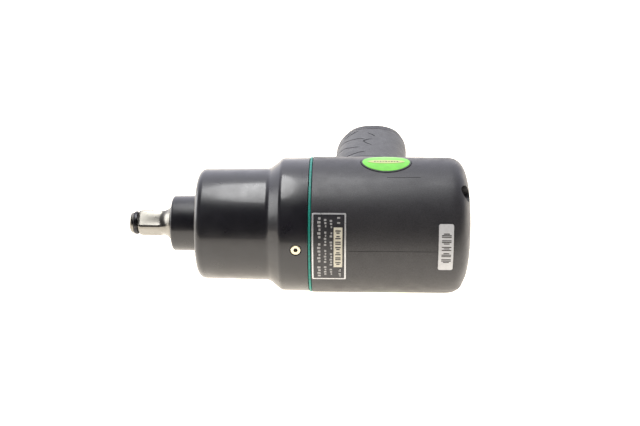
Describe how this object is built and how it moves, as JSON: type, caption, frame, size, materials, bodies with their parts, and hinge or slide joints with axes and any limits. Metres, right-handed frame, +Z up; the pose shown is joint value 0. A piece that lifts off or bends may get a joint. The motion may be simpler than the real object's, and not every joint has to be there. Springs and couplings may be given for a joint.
{
  "type": "impact wrench",
  "caption": "Pneumatic impact wrench with a square drive, stepped hammer case, round motor housing and pistol handle, lying on its side.",
  "frame": {"origin": "middle of the underside of the whole tool as it lies on its left side", "axes": "+X along the motor axis from the square drive to the rear, +Y toward the butt of the handle, +Z up, which is the tool's right-hand side"},
  "size_m": [0.2106, 0.2008, 0.0849],
  "materials": {
    "case_enamel": "satin gloss",
    "housing_composite": "fine moulded grain",
    "grip_rubber": "matte",
    "dark_composite": "matte",
    "gasket": "matte fibre",
    "drive_steel": "satin",
    "black_steel": "oiled black",
    "machined_steel": "ground",
    "zinc_steel": "plated",
    "cast_aluminium": "machined casting",
    "brass": "satin",
    "black_rubber": "matte",
    "vane_phenolic": "laminate",
    "muffler_felt": "felt",
    "badge": "domed gloss",
    "label_film": "satin film",
    "paper_sticker": "matte"
  },
  "bodies": {
    "tool_body": {"hammer_case": "case_enamel", "grease_plug": "brass", "anvil_bushing": "brass", "nose_seal": "black_rubber", "case_gasket": "gasket", "front_end_plate": "cast_aluminium", "front_bearing_outer_race": "machined_steel", "motor_cylinder": "machined_steel", "cylinder_dowel": "zinc_steel", "rear_end_plate": "cast_aluminium", "rear_bearing_outer_race": "machined_steel", "motor_housing": "housing_composite", "case_bolt_1": "zinc_steel", "case_bolt_2": "zinc_steel", "case_bolt_3": "zinc_steel", "case_bolt_4": "zinc_steel", "valve_cap": "dark_composite", "valve_cap_snap_ring": "black_steel", "detent_ball": "zinc_steel", "detent_spring": "zinc_steel", "handle_grip": "grip_rubber", "trigger_guide_pin": "zinc_steel", "throttle_bushing": "brass", "throttle_seat": "brass", "inlet_bushing": "machined_steel", "inlet_screen": "brass", "inlet_o_ring": "black_rubber", "exhaust_deflector": "dark_composite", "muffler_pad": "muffler_felt", "side_badge_right": "badge", "side_badge_left": "badge", "rating_label": "label_film", "serial_sticker": "paper_sticker"},
    "rotor_assembly": {"rotor": "machined_steel", "vane_1": "vane_phenolic", "vane_2": "vane_phenolic", "vane_3": "vane_phenolic", "vane_4": "vane_phenolic", "vane_5": "vane_phenolic", "vane_6": "vane_phenolic", "hammer_cage": "machined_steel", "hammer_pin_1": "zinc_steel", "hammer_pin_2": "zinc_steel", "rotor_spacer": "zinc_steel", "front_bearing_inner_race": "machined_steel", "rear_bearing_inner_race": "machined_steel"},
    "front_hammer_dog": {"hammer_front": "machined_steel"},
    "rear_hammer_dog": {"hammer_rear": "machined_steel"},
    "anvil_assembly": {"anvil": "drive_steel", "socket_retaining_ring": "black_steel", "retainer_o_ring": "black_rubber"},
    "trigger_assembly": {"trigger": "dark_composite", "trigger_stem": "zinc_steel"},
    "throttle_flap": {"throttle_valve": "zinc_steel", "throttle_spring": "zinc_steel"},
    "regulator": {"regulator_knob": "case_enamel", "knob_screw": "zinc_steel", "reverse_valve": "machined_steel"}
  },
  "joints": [
    {"name": "rotor_spin", "type": "hinge", "parent": "tool_body", "child": "rotor_assembly", "pos_m": [0.00825, -0.05738, 0.0422], "axis": [1, 0, 0], "continuous": true},
    {"name": "anvil_spin", "type": "hinge", "parent": "tool_body", "child": "anvil_assembly", "pos_m": [0.00825, -0.05738, 0.0422], "axis": [1, 0, 0], "continuous": true},
    {"name": "front_hammer_swing", "type": "hinge", "parent": "rotor_assembly", "child": "front_hammer_dog", "pos_m": [0.00825, -0.05374, 0.06491], "axis": [1, 0, 0], "range_deg": [-4, 4]},
    {"name": "rear_hammer_swing", "type": "hinge", "parent": "rotor_assembly", "child": "rear_hammer_dog", "pos_m": [0.00825, -0.06102, 0.01949], "axis": [1, 0, 0], "range_deg": [-4, 4]},
    {"name": "trigger_pull", "type": "slide", "parent": "tool_body", "child": "trigger_assembly", "axis": [1, 0, 0], "range_m": [0, 0.005], "stiffness_N_per_m": 900, "springref_m": -0.004},
    {"name": "throttle_tilt", "type": "hinge", "parent": "tool_body", "child": "throttle_flap", "pos_m": [0.03505, 0.01944, 0.0299], "axis": [0, 0.1582, 0.9874], "range_deg": [0, 14.32]},
    {"name": "regulator_turn", "type": "hinge", "parent": "tool_body", "child": "regulator", "pos_m": [0.00825, -0.05738, 0.0422], "axis": [1, 0, 0], "range_deg": [-90, 90]}
  ],
  "couplings": [
    {"joint": "anvil_spin", "follows": "rotor_spin", "ratio": 1},
    {"joint": "throttle_tilt", "follows": "trigger_pull", "rad_per_m": 50}
  ]
}
